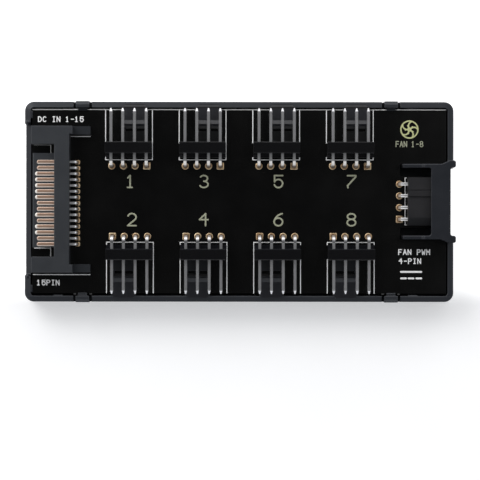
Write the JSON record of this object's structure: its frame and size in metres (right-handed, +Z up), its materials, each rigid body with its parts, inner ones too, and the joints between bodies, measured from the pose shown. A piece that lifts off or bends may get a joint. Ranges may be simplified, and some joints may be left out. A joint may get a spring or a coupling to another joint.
{
  "type": "pc fan controller hub",
  "caption": "Flat open tray holding a black circuit board with keyed fan headers along both long edges, a drive-power connector at one end and a control input under a portal at the other.",
  "frame": {"origin": "under the middle of the tray, on the plane that it lies on", "axes": "+X towards the control input, +Y towards the row of odd-numbered headers, +Z up out of the board"},
  "size_m": [0.0932, 0.0436, 0.0148],
  "materials": {
    "tray_plastic": "moulded black plastic, fine matt texture",
    "header_plastic": "black connector plastic, smooth satin",
    "connector_plastic": "dark grey glass-filled connector plastic",
    "tinned_pins": "bright tin plating",
    "plated_contacts": "thin gold flash over copper alloy",
    "board_laminate": "black solder mask on glass-fibre laminate",
    "chip_resin": "black moulding resin",
    "ceramic_parts": "sintered brown ceramic",
    "magnet_plating": "nickel plated"
  },
  "bodies": {
    "root": {"tray": "tray_plastic", "circuit_board": "board_laminate", "fan_header_1": "header_plastic", "fan_pins_1": "tinned_pins", "fan_header_2": "header_plastic", "fan_pins_2": "tinned_pins", "fan_header_3": "header_plastic", "fan_pins_3": "tinned_pins", "fan_header_4": "header_plastic", "fan_pins_4": "tinned_pins", "fan_header_5": "header_plastic", "fan_pins_5": "tinned_pins", "fan_header_6": "header_plastic", "fan_pins_6": "tinned_pins", "fan_header_7": "header_plastic", "fan_pins_7": "tinned_pins", "fan_header_8": "header_plastic", "fan_pins_8": "tinned_pins", "control_header": "header_plastic", "control_pins": "tinned_pins", "power_connector": "connector_plastic", "power_contacts_short": "plated_contacts", "power_contacts_long": "plated_contacts", "signal_buffer_chip": "chip_resin", "signal_buffer_leads": "tinned_pins", "power_switch_chip": "chip_resin", "power_switch_leads": "tinned_pins", "resettable_fuse": "chip_resin", "bulk_capacitors": "ceramic_parts", "chip_resistors": "ceramic_parts", "chip_capacitors": "ceramic_parts", "magnet_left": "magnet_plating", "magnet_right": "magnet_plating"}
  },
  "joints": []
}
